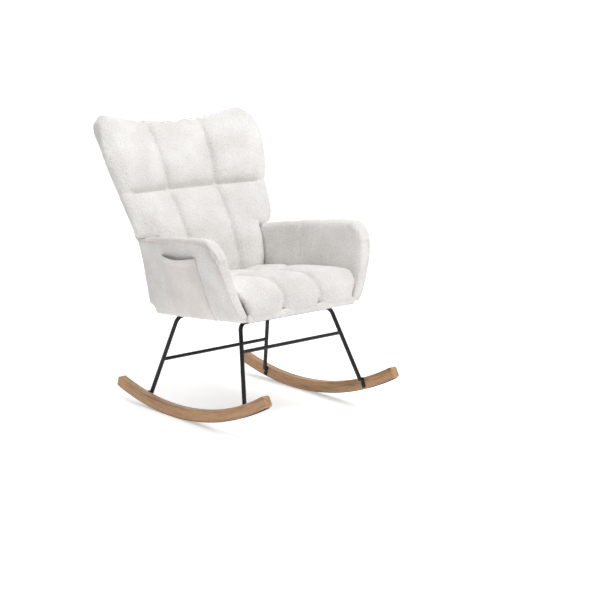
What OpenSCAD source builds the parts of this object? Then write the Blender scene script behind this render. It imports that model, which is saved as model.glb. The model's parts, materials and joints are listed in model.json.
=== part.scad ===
// Upholstered wingback rocking chair, in millimetres.
// The chair faces -Y, +X is the sitter's left and +Z is up.
// Everything is drawn with the seat level, then leaned back on its runners to the
// pose in which the chair rests on a floor.

/* [Runners] */
// Radius of the rocking curve, at the face that meets the floor
rocker_radius = 1028; // [900:5:1300]
// Outer width over both runners
runner_span = 582; // [520:2:640]
// Thickness of a runner, side to side
runner_thick = 27; // [22:1:34]
// Height of a runner's wooden section
runner_height = 38; // [32:1:50]
// Length of curve ahead of the level point
runner_front_len = 438; // [360:2:480]
// Length of curve behind the level point
runner_rear_len = 394; // [320:2:440]
// Thickness of the strip glued under a runner
grip_thick = 2; // [1:0.5:4]
// Width of that strip
grip_width = 19; // [12:1:22]
// Angle that the chair leans back at rest
rest_lean = 5; // [0:0.5:8]

/* [Steel frame] */
// Diameter of the steel tube
tube_d = 14; // [12:1:18]
// Distance from the level point forward to a front foot
front_foot_y = 272; // [250:2:290]
// Distance from the level point back to a rear foot
rear_foot_y = 233; // [215:2:250]
// Forward slope of the front legs, in degrees
front_rake = 15; // [8:1:20]
// Backward slope of the rear legs, in degrees
rear_rake = 22.5; // [14:0.5:26]
// Outward slope of the front legs, in degrees
front_splay = 13; // [8:1:16]
// Outward slope of the rear legs, in degrees
rear_splay = 11.5; // [8:0.5:16]
// Height of the front crossbar above the level floor
front_bar_z = 237; // [150:1:270]
// Height of the rear crossbar above the level floor
rear_bar_z = 178; // [150:1:270]

/* [Seat] */
// Underside of the upholstered seat above the level floor
seat_bottom = 335; // [315:1:360]
// Half of the seat box's width, over the side panels
seat_half_w = 246; // [225:1:270]
// Front face of the seat, ahead of the level point
seat_front = 290; // [270:1:310]
// Rear end of the seat box, behind the level point
seat_rear = 189; // [180:1:205]
// Height of the cushion's top, from the seat's underside
seat_rise = 115; // [100:1:135]
// Height of the timber seat rails
rail_h = 50; // [40:1:60]
// Thickness of the timber rails
rail_t = 22; // [18:1:25]

/* [Arms] */
// Height of the arm's top, from the seat's underside
arm_rise = 271; // [230:1:300]
// Thickness of an arm at the seat
arm_thick = 45; // [42:1:56]
// How far the arm's top leans out, at its rear end
flare_rear = 34; // [20:1:45]
// How far the arm's top leans out, at its front end
flare_front = 112; // [60:1:125]

/* [Back] */
// Height of the ears, from the seat's underside
ear_rise = 675; // [600:5:720]
// How far the top edge dips in the middle
top_dip = 35; // [15:1:60]
// How far the back's foot stands in from the seat's half width, on each side
back_inset = 18; // [0:1:32]
// How much each side widens for each millimetre of height
back_widen = 0.185; // [0.1:0.005:0.22]
// Thickness of the back at its top
back_thick = 50; // [44:1:65]
// Extra thickness where the back meets the seat
lumbar = 45; // [20:1:55]
// How far the wings come forward of the middle
wing_depth = 70; // [20:1:85]

/* [Side pockets] */
// Width of a pocket at its mouth
pocket_w = 216; // [160:2:240]
// Height of the mouth, from the seat's underside
pocket_rise = 211; // [150:1:220]
// How far the mouth stands open
pocket_gape = 18; // [12:1:24]

/* [Fastenings] */
// Diameter of the frame, arm and back bolts
bolt_d = 6; // [5:1:8]
// Diameter of the screws through the feet
foot_screw_d = 5; // [4:0.5:6]

/* [Hidden] */

$fn = 48;
// Room left between soft pieces and what they lie against
ease = 0.6;

// Colours
boucle = "#efedea";
shade = "#dcd8d4";
oak = "#c39a72";
pine = "#dcc49c";
steel_black = "#1d1d1f";
zinc = "#b9bcc0";
rubber_black = "#161616";
foam_cream = "#f1e7c4";
strap = "#3d3a38";

// Heights that several pieces share
arm_top = seat_bottom + arm_rise;
ear_top = seat_bottom + ear_rise;
seat_top = seat_bottom + seat_rise;
plate_t = 3;
sheet_t = 1.5;
tube_r = tube_d / 2;
timber_z = seat_bottom + 3;
rail_top = timber_z + rail_h;
plate_z = timber_z - sheet_t - plate_t;
top_bar_z = plate_z - tube_r;
strap_t = 2;
foam_z = rail_top + 2 * strap_t;
fabric_t = 2.5;

// Timber seat box
box_half = seat_half_w - arm_thick - 1;
box_front = -seat_front + 28;
box_rear = seat_rear - 14;
slat_w = 46;
slat_t = 18;

// Runners and feet
inner_face = runner_span / 2 - runner_thick;
wood_radius = rocker_radius - grip_thick;
top_radius = wood_radius - runner_height;
tab_t = 3;
tab_w = tube_d + 1;
tab_len = 36;
tab_drop = 27;
glue_line = 0.15;
bend_r = 30;
tube_sides = 32;

// Back: rear face at its middle and edges
back_foot_y = seat_rear + 39;
back_foot_z = seat_bottom + 30;
knee_z = seat_bottom + 215;
knee_soft = 60;
lean_mid = 0.41;
lean_edge = 0.35;
panel_t = 12;

function degrees_along(length) = length / rocker_radius * 180 / PI;
// Height of the runner's floor face at a distance from the level point
function arc_z(y, r) = rocker_radius - sqrt(r * r - y * y);
function blend(a, b, t) = a + (b - a) * t;
function clamp01(t) = min(1, max(0, t));

// ---- helpers ----

function sum_of(v, i = 0) = i == len(v) - 1 ? v[i] : v[i] + sum_of(v, i + 1);
function middle(ring) = sum_of(ring) / len(ring);
// Way that a ring turns, seen along its own normal
function ring_normal(ring) = let (n = len(ring), c = middle(ring))
    sum_of([for (j = [0:n - 1]) cross(ring[j] - c, ring[(j + 1) % n] - c)]);

// Closed solid through rings of points, first and last ring closed flat
module loft(given) {
    n = len(given[0]);
    m = len(given);
    k = floor(m / 2);
    onward = middle(given[m - 1]) - middle(given[0]);
    turned = ring_normal(given[k]) * onward < 0;
    rings = turned ? [for (i = [m - 1:-1:0]) given[i]] : given;
    sides = [for (i = [0:m - 2], j = [0:n - 1], half = [0, 1])
        let (a = i * n + j, b = i * n + (j + 1) % n, c = a + n, d = b + n)
        half == 0 ? [a, c, b] : [b, c, d]];
    // End faces run as ladders between the ring's two halves
    first = [for (j = [0:floor((n - 3) / 2)], half = [0, 1])
        if (half == 0 || j + 1 < n - 2 - j)
            half == 0 ? [j, j + 1, n - 2 - j == j + 1 ? n - 1 - j : n - 2 - j] : [j, n - 2 - j, n - 1 - j]];
    last = [for (t = first) [t[0], t[2], t[1]] + (m - 1) * n * [1, 1, 1]];
    polyhedron([for (ring = rings) each ring], concat(sides, first, last), convexity = 6);
}

// Straight bar with a rectangular section, from one point to another
module bar(from, to, wide, deep) {
    d = to - from;
    length = norm(d);
    translate(from)
        rotate([0, acos(d[2] / length), atan2(d[1], d[0])])
            rotate([0, 0, -atan2(d[1], d[0])])
                translate([-wide / 2, -deep / 2, 0])
                    cube([wide, deep, length]);
}

// Bolt along -Z with a domed head above the origin
module bolt(d, length) {
    head = d * 0.5;
    translate([0, 0, -length])
        cylinder(d = d, h = length);
    difference() {
        cylinder(d1 = d * 2, d2 = d * 1.5, h = head);
        translate([0, 0, head / 2])
            cylinder(d = d * 0.67, h = head, $fn = 6);
    }
}

// Tee nut: flange on the far face and a barrel in the timber, bored for the bolt
module tee_nut(d, barrel) {
    difference() {
        union() {
            cylinder(d = d + 3, h = barrel);
            translate([0, 0, barrel])
                cylinder(d = d * 3, h = 1.5);
        }
        translate([0, 0, -1])
            cylinder(d = d, h = barrel + 4);
    }
}

module washer(d) {
    difference() {
        cylinder(d = d * 2.4, h = 1.2);
        translate([0, 0, -1])
            cylinder(d = d, h = 4);
    }
}

// Right-hand side mirrored to the left
module side(s) {
    if (s > 0) children();
    else mirror([1, 0, 0]) children();
}

// ---- runners ----

front_end = degrees_along(runner_front_len);
rear_end = degrees_along(runner_rear_len);
end_round = 9;
// Sections through a runner are turned about the rocking centre
module around_centre(angle) {
    translate([0, 0, rocker_radius])
        rotate([angle, 0, 0])
            translate([0, 0, -rocker_radius])
                children();
}

module arc_band(r_in, r_out, from_x, wide, ease_r) {
    translate([from_x, 0, rocker_radius])
        rotate([0, 90, 0])
            rotate([0, 0, -front_end])
                rotate_extrude(angle = front_end + rear_end, $fn = 360)
                    eased_section(r_in, r_out, wide, ease_r);
}

module eased_section(r_in, r_out, wide, ease_r) {
    translate([r_in + ease_r, 0])
        square([r_out - r_in - 2 * ease_r, wide]);
    translate([r_in, ease_r])
        square([r_out - r_in, wide - 2 * ease_r]);
    for (r = [r_in + ease_r, r_out - ease_r], x = [ease_r, wide - ease_r])
        translate([r, x])
            circle(r = ease_r, $fn = 24);
}

// Cuts the corner between a runner's end and one of its long faces
module corner_cut(angle, radius, towards_end, towards_top) {
    around_centre(angle)
        translate([0, -towards_end * end_round, rocker_radius - radius + towards_top * end_round])
            rotate([0, 90, 0])
                difference() {
                    translate([towards_top > 0 ? 0 : -end_round - 1, towards_end > 0 ? 0 : -end_round - 1, -1])
                        cube([end_round + 1, end_round + 1, runner_span]);
                    translate([0, 0, -2])
                        cylinder(r = end_round, h = runner_span + 2);
                }
}

foot_x = inner_face - tab_t;
screw_drops = [9, 20];

// Lays things in the plane of a foot, along its leg, with the origin at the tube's lower end
module at_foot(front) {
    translate([foot_x, sign_of(front) * foot_y_of(front), foot_z_of(front)])
        rotate([sign_of(front) * rake_of(front), 0, 0])
            children();
}

// Place along a screw through a foot, pointing out to the side
module foot_screw_places() {
    for (front = [true, false], drop = screw_drops)
        at_foot(front)
            translate([0, 0, -drop])
                rotate([0, 90, 0])
                    children();
}

insert_len = 16;
insert_d = 8;
module runner(s) {
    color(oak)
        side(s)
            difference() {
                arc_band(top_radius, wood_radius, inner_face, runner_thick, 3);
                corner_cut(-front_end, top_radius, -1, -1);
                corner_cut(-front_end, wood_radius, -1, 1);
                corner_cut(rear_end, top_radius, 1, -1);
                corner_cut(rear_end, wood_radius, 1, 1);
                foot_screw_places()
                    cylinder(d = insert_d, h = tab_t + insert_len);
            }
}

module grip_strip(s) {
    color(rubber_black)
        side(s)
            translate([inner_face + (runner_thick - grip_width) / 2, 0, rocker_radius])
                rotate([0, 90, 0])
                    rotate([0, 0, -front_end + 0.6])
                        rotate_extrude(angle = front_end + rear_end - 1.2, $fn = 360)
                            translate([wood_radius + glue_line, 0])
                                square([grip_thick - glue_line, grip_width]);
}

module runner_inserts() {
    color("#c9a54a")
        for (s = [1, -1])
            side(s)
                foot_screw_places()
                    translate([0, 0, tab_t])
                        difference() {
                            cylinder(d = insert_d, h = insert_len);
                            translate([0, 0, -1])
                                cylinder(d = foot_screw_d, h = insert_len);
                        }
}

module foot_screws() {
    color(steel_black)
        for (s = [1, -1])
            side(s)
                foot_screw_places()
                    mirror([0, 0, 1])
                        bolt(foot_screw_d, tab_t + insert_len - 3);
}

// ---- steel frame ----

// Where a leg meets its foot, level frame: side, distance and height
foot_dip = 8;
foot_z_front = arc_z(front_foot_y, top_radius) - foot_dip;
foot_z_rear = arc_z(rear_foot_y, top_radius) - foot_dip;
leg_x = inner_face - tab_t - tube_r;
function rake_of(front) = front ? front_rake : rear_rake;
function splay_of(front) = front ? front_splay : rear_splay;
function sign_of(front) = front ? -1 : 1;
function foot_y_of(front) = front ? front_foot_y : rear_foot_y;
function foot_z_of(front) = front ? foot_z_front : foot_z_rear;
// Distance of a leg frame from the level point at a height
function leg_y(front, z) = sign_of(front) * (foot_y_of(front) - (z - foot_z_of(front)) * tan(rake_of(front)));
// Distance of a leg from the middle at a height
function leg_side(front, z) = leg_x - (z - foot_z_of(front)) * tan(splay_of(front));

// Lays the plane of a bent leg frame along its rake, with its origin on the top bar
module in_leg_plane(front) {
    translate([0, leg_y(front, top_bar_z), top_bar_z])
        rotate([sign_of(front) * rake_of(front), 0, 0])
            children();
}

// Slope of a leg within its own plane
function plane_splay(front) = atan(tan(splay_of(front)) * cos(rake_of(front)));
function plane_drop(front) = (top_bar_z - foot_z_of(front)) / cos(rake_of(front));

// Length that a bend takes from each straight
function bend_take(front) = bend_r * tan((90 - plane_splay(front)) / 2);

function leg_len(front) = plane_drop(front) / cos(plane_splay(front));

// Lays things along a leg, from the corner of its bend downwards
module down_leg(front) {
    in_leg_plane(front)
        translate([leg_side(front, top_bar_z), 0, 0])
            rotate([0, 180 - plane_splay(front), 0])
                children();
}

// Places along a bent tube, each with the angle that its outer side faces, from foot to foot
bend_steps = 8;
function bend_places(front, from, to) = let (centre = leg_side(front, top_bar_z) - bend_take(front))
    [for (i = [0:bend_steps]) let (a = blend(from, to, i / bend_steps))
        [(to > 90 ? -centre : centre) + bend_r * cos(a), -bend_r + bend_r * sin(a), a]];
function foot_place(front, way) = let (a = plane_splay(front))
    [way * (leg_side(front, top_bar_z) + leg_len(front) * sin(a)), -leg_len(front) * cos(a), way > 0 ? a : 180 - a];
function tube_places(front) = let (a = plane_splay(front)) concat(
    [foot_place(front, 1)],
    bend_places(front, a, 90),
    bend_places(front, 90, 180 - a),
    [foot_place(front, -1)]);

// Flat plates welded under the legs, against the runners' inner faces, drilled for two screws each
module foot_plates() {
    color(steel_black)
        for (s = [1, -1], front = [true, false])
            side(s)
                difference() {
                    at_foot(front)
                        translate([0, -tab_w / 2, -tab_drop])
                            cube([tab_t, tab_w, tab_len]);
                    foot_screw_hole(front);
                }
}

module foot_screw_hole(front) {
    for (drop = screw_drops)
        at_foot(front)
            translate([-1, 0, -drop])
                rotate([0, 90, 0])
                    cylinder(d = foot_screw_d, h = tab_t + 2);
}

// One tube bent twice: two legs and the bar that carries the seat
module leg_frame(front) {
    color(steel_black)
        in_leg_plane(front)
            loft([for (p = tube_places(front))
                [for (k = [0:tube_sides - 1])
                    let (round_a = 360 * k / tube_sides, out = tube_r * cos(round_a))
                    [p[0] + out * cos(p[2]), tube_r * sin(round_a), p[1] + out * sin(p[2])]]]);
}

// Bar welded between two legs, its ends shaped to the tubes
module crossbar(front, z) {
    reach = leg_side(front, z);
    color(steel_black)
        difference() {
            translate([-reach, leg_y(front, z), z])
                rotate([0, 90, 0])
                    cylinder(r = tube_r - 1, h = 2 * reach);
            for (s = [1, -1])
                side(s)
                    down_leg(front)
                        cylinder(r = tube_r, h = 2 * plane_drop(front));
        }
}

plate_x = 120;
plate_l = 60;
plate_w = 44;
bolt_off = 15;
function slat_y(front) = leg_y(front, top_bar_z);

// Places of the four bolts that hold the seat to the steel frame
module frame_bolt_places() {
    for (s = [1, -1], front = [true, false])
        translate([s * plate_x, slat_y(front) + sign_of(front) * -bolt_off, plate_z])
            children();
}

module mount_plates() {
    color(steel_black)
        difference() {
            for (s = [1, -1], front = [true, false])
                translate([s * plate_x - plate_l / 2, slat_y(front) - plate_w / 2, plate_z])
                    cube([plate_l, plate_w, plate_t]);
            frame_bolt_places()
                translate([0, 0, -1])
                    cylinder(d = bolt_d, h = plate_t + 2);
        }
}

module frame_bolts() {
    color(steel_black)
        frame_bolt_places()
            translate([0, 0, -1.2])
                mirror([0, 0, 1])
                    bolt(bolt_d, slat_t + sheet_t + plate_t + 1.2);
}

module frame_washers() {
    color(zinc)
        frame_bolt_places()
            translate([0, 0, -1.2])
                washer(bolt_d);
}

module seat_tee_nuts() {
    color(zinc)
        frame_bolt_places()
            translate([0, 0, plate_t + sheet_t])
                tee_nut(bolt_d, slat_t);
}

// ---- timber seat box ----

module seat_side_rail(s) {
    color(pine)
        side(s)
            difference() {
                translate([box_half - rail_t, box_front, timber_z])
                    cube([rail_t, box_rear - box_front, rail_h]);
                arm_bolt_places()
                    cylinder(d = bolt_d, h = 2 * rail_t, center = true);
            }
}

module seat_end_rail(y) {
    color(pine)
        translate([-box_half + rail_t, y, timber_z])
            cube([2 * (box_half - rail_t), rail_t, rail_h]);
}

module seat_rear_rail() {
    difference() {
        seat_end_rail(box_rear - rail_t);
        color(pine)
            back_bolt_places()
                translate([0, 0, -1])
                    cylinder(d = bolt_d, h = 2 * rail_t);
    }
}

module slat(front) {
    color(pine)
        difference() {
            translate([-box_half + rail_t, slat_y(front) - slat_w / 2, timber_z])
                cube([2 * (box_half - rail_t), slat_w, slat_t]);
            frame_bolt_places()
                cylinder(d = bolt_d + 3, h = 3 * slat_t);
        }
}

block = 36;
module corner_blocks() {
    color(pine)
        for (s = [1, -1], front = [true, false])
            side(s)
                translate([box_half - rail_t, front ? box_front + rail_t : box_rear - rail_t, timber_z + slat_t + 2])
                    mirror([0, front ? 0 : 1, 0])
                        linear_extrude(rail_h - slat_t - 2)
                            polygon([[0, 0], [0, block], [-block, 0]]);
}

strap_w = 50;
strap_gap = 68;
module webbing_long() {
    color(strap)
        for (i = [-2:2])
            translate([i * strap_gap - strap_w / 2, box_front, rail_top])
                cube([strap_w, box_rear - box_front, strap_t]);
}

module webbing_cross() {
    color(strap)
        for (i = [-2:2])
            translate([-box_half, (box_front + box_rear) / 2 + i * strap_gap - strap_w / 2, rail_top + strap_t])
                cube([2 * box_half, strap_w, strap_t]);
}

module dust_cover() {
    color("#2a2a2c")
        difference() {
            translate([-box_half, box_front, timber_z - sheet_t])
                cube([2 * box_half, box_rear - box_front, sheet_t]);
            frame_bolt_places()
                cylinder(d = bolt_d, h = 20);
        }
}

// ---- arm surfaces ----

function back_rear_y(f, z) = back_foot_y
    + (lean_mid - (lean_mid - lean_edge) * f * f) / 2 * (z - knee_z + sqrt(pow(z - knee_z, 2) + knee_soft * knee_soft));
// Rear end of an arm: the seat box's below the back's foot, up to the back panel above it
function arm_rear_y(z) = z < back_foot_z + 2 ? seat_rear : back_rear_y(1, z) - panel_t - 3;
arm_corner = 110;
// Front edge of an arm: it rolls in under the seat and runs round into the arm's top
under_roll = 16;
function arm_front_y(z) = -seat_front + (z - seat_bottom) * 0.04
    + under_roll * pow(clamp01(1 - (z - seat_bottom) / 36), 2)
    + (z > arm_top - arm_corner ? arm_corner - sqrt(max(0, pow(arm_corner, 2) - pow(z - arm_top + arm_corner, 2))) : 0);
// An arm leans out quickly above the seat's lower edge, then more slowly
lean_power = 0.65;
function arm_out_x(y, z) = seat_half_w
    + pow(max(0, z - seat_bottom) / arm_rise, lean_power) * blend(flare_rear, flare_front, (seat_rear - y) / (seat_rear + seat_front));
function arm_thick_at(z) = arm_thick + 8 * (z - seat_bottom) / arm_rise;
function arm_in_x(y, z) = arm_out_x(y, z) - arm_thick_at(z);

arm_crown = 25;
arm_levels = [seat_bottom, seat_bottom + 14, back_foot_z + 1, back_foot_z + 3, seat_bottom + 60, seat_bottom + 105,
    arm_top - arm_corner, arm_top - 70, arm_top - 45, arm_top - arm_crown];
crown_steps = [30, 60, 90, 120, 150];

// One closed ring of an arm, a share of the way from its front to its rear
function arm_point(s, z, across, d) =
    let (y = blend(arm_front_y(z) + d, arm_rear_y(z) - d, s))
    [blend(arm_out_x(y, z) - d, arm_in_x(y, z) + d, across), y, z];
function arm_ring(s, d, pinch) = let (low = d > 0 ? -2 : 0) concat(
    [for (z = arm_levels) arm_point(s, z + (z == seat_bottom ? low : 0), pinch, d)],
    [for (a = crown_steps) arm_point(s, arm_top - arm_crown + (arm_crown - d) * sin(a), 0.5 - (0.5 - pinch) * cos(a), d)],
    [for (i = [len(arm_levels) - 1:-1:0])
        let (z = arm_levels[i]) arm_point(s, z + (z == seat_bottom ? low : 0), 1 - pinch, d)]);
module arm_shape(d) {
    loft([for (s = [0, 0.04, 0.2, 0.4, 0.6, 0.8, 0.97, 1])
        arm_ring(s, d, s == 0 || s == 1 ? 0.16 : 0)]);
}

// ---- arm frame ----

post = 20;
post_inset = 24;
function post_top(y) = [arm_out_x(y, arm_top - 44) - post_inset, y, arm_top - 44];
function post_foot(y) = [box_half + rail_t + post / 2 + ease, y, timber_z + 8];
front_post_y = -seat_front + 86;
rear_post_y = seat_rear - 28;

module arm_base_rail(s) {
    color(pine)
        side(s)
            difference() {
                translate([box_half, box_front, timber_z])
                    cube([rail_t, box_rear - box_front, rail_h]);
                arm_bolt_places()
                    cylinder(d = bolt_d, h = 4 * rail_t, center = true);
            }
}

// A post stands against the base rail and ends under the top rail
module arm_post(s, y) {
    color(pine)
        side(s)
            difference() {
                bar(post_foot(y), post_top(y) - [0, 0, 5], post, post);
                arm_top_bar();
            }
}

module arm_top_bar() {
    bar(post_top(front_post_y - 14) + [0, 0, 3], post_top(rear_post_y + 14) + [0, 0, 3], 20, 18);
}

module arm_top_rail(s) {
    color(pine)
        side(s)
            arm_top_bar();
}

module arm_timbers() {
    translate([box_half - 1, box_front, timber_z - 20])
        cube([rail_t + 1, box_rear - box_front, rail_h + 20]);
    for (y = [front_post_y, rear_post_y])
        bar(post_foot(y), post_top(y) - [0, 0, 5], post, post);
    arm_top_bar();
}

module arm_foam(s) {
    color(foam_cream)
        side(s)
            difference() {
                arm_shape(fabric_t);
                arm_timbers();
                translate([0, -2 * runner_span, 0])
                    cube([runner_span, 4 * runner_span, timber_z]);
                arm_bolt_room();
            }
}

module arm_cover(s) {
    color(boucle)
        side(s)
            difference() {
                arm_shape(0);
                arm_shape(fabric_t);
                arm_timbers();
                arm_bolt_room();
            }
}

// Bolts pass from inside the seat box through both rails, into nuts under the foam
module arm_bolt_places() {
    for (y = [front_post_y + 40, rear_post_y - 60])
        translate([box_half, y, timber_z + rail_h / 2])
            rotate([0, 90, 0])
                children();
}

module arm_bolt_room() {
    arm_bolt_places()
        translate([0, 0, rail_t - 1])
            cylinder(d = bolt_d * 3.4, h = 4);
}

module arm_bolts() {
    color(zinc)
        for (s = [1, -1])
            side(s)
                arm_bolt_places()
                    translate([0, 0, -rail_t])
                        mirror([0, 0, 1])
                            bolt(bolt_d, 2 * rail_t);
}

module arm_tee_nuts() {
    color(zinc)
        for (s = [1, -1])
            side(s)
                arm_bolt_places()
                    translate([0, 0, rail_t])
                        difference() {
                            cylinder(d = bolt_d * 3, h = 1.5);
                            translate([0, 0, -1])
                                cylinder(d = bolt_d, h = 4);
                        }
}

// ---- arm trim ----

// Round tube through a list of points
module tube(path, r, sides) {
    n = len(path);
    loft([for (i = [0:n - 1])
        let (
            d = path[min(i + 1, n - 1)] - path[max(i - 1, 0)],
            t = d / norm(d),
            across = cross(t, [1, 0, 0]),
            u = norm(across) > 0.1 ? across / norm(across) : [0, 1, 0],
            v = cross(t, u))
        [for (k = [0:sides - 1]) path[i] + r * (cos(360 * k / sides) * u + sin(360 * k / sides) * v)]]);
}

cord_r = 2.5;
// The piping lies on the rounded edge between the outer side and the front band
cord_in = 3 - ease;
piping_z = arm_top - 13;
piping_rise = [for (i = [0:9]) blend(seat_bottom + 6, piping_z - 12, i / 9)];
piping_run = [0.08, 0.2, 0.4, 0.6, 0.8, 0.96];
function piping_path() = concat(
    [for (z = piping_rise) let (y = arm_front_y(z)) [arm_out_x(y, z) - cord_in, y + 1, z]],
    [let (y = arm_front_y(piping_z - 4)) [arm_out_x(y, piping_z) - cord_in + 1, y + 4, piping_z - 4]],
    [for (s = piping_run) arm_point(s, piping_z, 0.06, 0) + [cord_in, 0, 2.5]]);

module arm_piping(s) {
    color(shade)
        side(s)
            tube(piping_path(), cord_r, 8);
}

// ---- side pockets ----

pocket_front = -seat_front + 142;
pocket_low = seat_bottom + 4;
pocket_high = seat_bottom + pocket_rise;
pocket_sag = 10;
pocket_cols = 10;
pocket_rows = [0, 0.15, 0.35, 0.6, 0.85, 1];
// Height of a point on the pocket: the mouth hangs lower in its middle
function pocket_z(u, v) = blend(pocket_low, pocket_high - pocket_sag * sin(180 * u), v);
function pocket_y(u, v) = pocket_front + u * (pocket_w + 34 * (1 - v));
function pocket_off(u, v) = 2 * ease + 1 + pocket_gape * sin(180 * u) * pow(v, 1.4);
function pocket_point(u, v, out) =
    let (y = pocket_y(u, v), z = pocket_z(u, v))
    [arm_out_x(y, z) + pocket_off(u, v) + out, y, z];
module side_pocket(s) {
    color(shade)
        side(s)
            loft([for (v = pocket_rows) concat(
                [for (i = [0:pocket_cols]) pocket_point(i / pocket_cols, v, 0)],
                [for (i = [pocket_cols:-1:0]) pocket_point(i / pocket_cols, v, fabric_t)])]);
}

// ---- seat cushion ----

front_roll = 62;
seat_rear_y = back_rear_y(0, seat_top) - back_thick - lumbar - 6;
seat_low = seat_bottom + 24;
// The cushion's outline from the side, level behind and rolled over the front edge
function seat_profile(d) = concat(
    [[seat_rear_y - d, seat_low - (d > 0 ? 1 : 0)], [seat_rear_y - d, seat_top - d - 8]],
    [[blend(-seat_front, seat_rear_y, 0.75), seat_top - d], [blend(-seat_front, seat_rear_y, 0.45), seat_top + 3 - d]],
    [for (a = [90:15:180])
        [-seat_front + front_roll + (front_roll - d) * cos(a), seat_top + 3 - front_roll + (front_roll - d) * sin(a)]],
    [[-seat_front + d, seat_low - (d > 0 ? 1 : 0)]]);
module seat_shape(d) {
    loft([for (f = [-1, -0.5, 0, 0.5, 1])
        [for (p = seat_profile(d)) [f * (arm_in_x(p[0], p[1]) - 4 - d), p[0], p[1]]]]);
}

// Room taken by the timber box and the webbing
module seat_box_room() {
    translate([-2 * box_half, box_front, 0])
        cube([4 * box_half, box_rear + 3 - box_front, foam_z]);
}

module seat_foam() {
    color(foam_cream)
        difference() {
            seat_shape(fabric_t);
            seat_box_room();
            translate([-2 * box_half, -2 * seat_front, 0])
                cube([4 * box_half, 4 * seat_front, seat_low]);
        }
}

module seat_cover() {
    color(boucle)
        difference() {
            seat_shape(0);
            seat_shape(fabric_t);
            seat_box_room();
        }
}

border_h = 20;
border_t = 11;
module front_border() {
    color(boucle)
        translate([0, -seat_front + 1, seat_bottom + 1])
            rotate([90, 0, 90])
                linear_extrude(2 * (box_half - 2), center = true) {
                    translate([0, 3])
                        square([border_t, border_h - 6]);
                    translate([3, 0])
                        square([border_t - 3, border_h]);
                    for (z = [3, border_h - 3])
                        translate([3, z])
                            circle(r = 3);
                }
}

// ---- back ----

// Half width at a height: between the arms below their tops, out over them above
function back_side_x(z) = seat_half_w - back_inset + back_widen * (z - back_foot_z);
ledge = 5;
function pad_side_x(z) = z < arm_top + ledge ? arm_in_x(arm_rear_y(z), z) - 3 : back_side_x(z);
function pad_depth(z) = back_thick + lumbar * clamp01((seat_bottom + 405 - z) / 290);
function wing_at(z) = z < arm_top - 10 ? 0 : wing_depth * (1 - exp(-(z - arm_top + 10) / 160));
function back_front_y(f, z) = back_rear_y(0, z) - pad_depth(z) - wing_at(z) * f * f;

// Top edge, dipped in the middle and dropping at each ear's corner
ear_f = 0.84;
ear_drop = 45;
function top_edge(f) = let (a = abs(f))
    a < ear_f ? ear_top - top_dip * (1 - pow(a / ear_f, 2)) : ear_top - ear_drop * pow((a - ear_f) / (1 - ear_f), 2);

pad_foot = back_foot_z + 6;
pad_levels = [pad_foot, seat_bottom + 90, seat_bottom + 150, seat_bottom + 215, arm_top + ledge - 1,
    arm_top + ledge + 1, seat_bottom + 330, seat_bottom + 400, seat_bottom + 480, seat_bottom + 560];
function rear_of_pad(f, z) = back_rear_y(f, z) - panel_t - 1;
stile_f = 0.8;
strap_room = 7;
function stile_rear(z) = back_rear_y(stile_f, z) - panel_t - 4;
// The foam stops in front of the straps; the cover is open behind
function rear_at(f, z, part) = part == "foam" ? (abs(f) > 0.9 ? rear_of_pad(f, z) : stile_rear(z) - strap_room)
    : rear_of_pad(f, z) + (part == "room" ? 3 : 0);

// One ring of the back, at a share f of its half width; edge rings are thinner
function back_ring(f, d, thin, part) = let (top = top_edge(f) - d, levels = concat(pad_levels, [top - 12, top])) concat(
    [for (i = [0:len(levels) - 1])
        let (z = levels[i], roll = i == len(levels) - 1 ? 0.3 : thin, t = rear_of_pad(f, z) - back_front_y(f, z))
        [f * (pad_side_x(z) - d), back_front_y(f, z) + d + roll * t, z + (i == 0 ? d : 0)]],
    [for (i = [len(levels) - 1:-1:0])
        let (z = levels[i], roll = i == len(levels) - 1 ? 0.1 : thin * 0.3, t = rear_of_pad(f, z) - back_front_y(f, z))
        [f * (pad_side_x(z) - d), rear_at(f, z, part) - roll * t, z + (i == 0 ? d : 0)]]);
back_stations = [-1, -0.96, -0.84, -0.6, -0.35, 0, 0.35, 0.6, 0.84, 0.96, 1];
module back_shape(d, part) {
    loft([for (f = back_stations)
        back_ring(f, d, abs(f) == 1 ? 0.3 : abs(f) > 0.9 ? 0.08 : 0, part)]);
}

// The panel closes the back from behind, over the arms' rear ends as well
panel_levels = [back_foot_z, seat_bottom + 120, seat_bottom + 180, seat_bottom + 230, seat_bottom + 290,
    seat_bottom + 360, seat_bottom + 460, seat_bottom + 560];
function panel_ring(f) = let (levels = concat(panel_levels, [top_edge(f) - 14])) concat(
    [for (z = levels) [f * (back_side_x(z) - 8), back_rear_y(f, z) - panel_t, z]],
    [for (i = [len(levels) - 1:-1:0])
        let (z = levels[i]) [f * (back_side_x(z) - 8), back_rear_y(f, z), z]]);
module back_panel() {
    color(boucle)
        difference() {
            loft([for (f = back_stations) panel_ring(f)]);
            back_bolt_places()
                translate([0, 0, -60])
                    cylinder(d = bolt_d * 3, h = 200, $fn = 24);
        }
}

// Timbers of the back follow its rear face
stile_t = 20;
stile_w = 30;
stile_lean = atan(back_widen * stile_f);
stile_foot = pad_foot + 4;
stile_top = ear_top - 60;
stile_steps = 8;
function stile_z(i) = blend(stile_foot, stile_top, i / stile_steps);
module stile_blank() {
    translate([stile_f * pad_side_x(stile_foot) - stile_t, 0, stile_foot])
        rotate([0, stile_lean, 0])
            translate([0, 0, -stile_foot])
                rotate([90, 0, 90])
                    linear_extrude(stile_t)
                        polygon(concat(
                            [for (i = [0:stile_steps]) [stile_rear(stile_z(i)), stile_z(i)]],
                            [for (i = [stile_steps:-1:0]) [stile_rear(stile_z(i)) - stile_w, stile_z(i)]]));
}

module back_stile(s) {
    color(pine)
        side(s)
            stile_blank();
}

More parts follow.
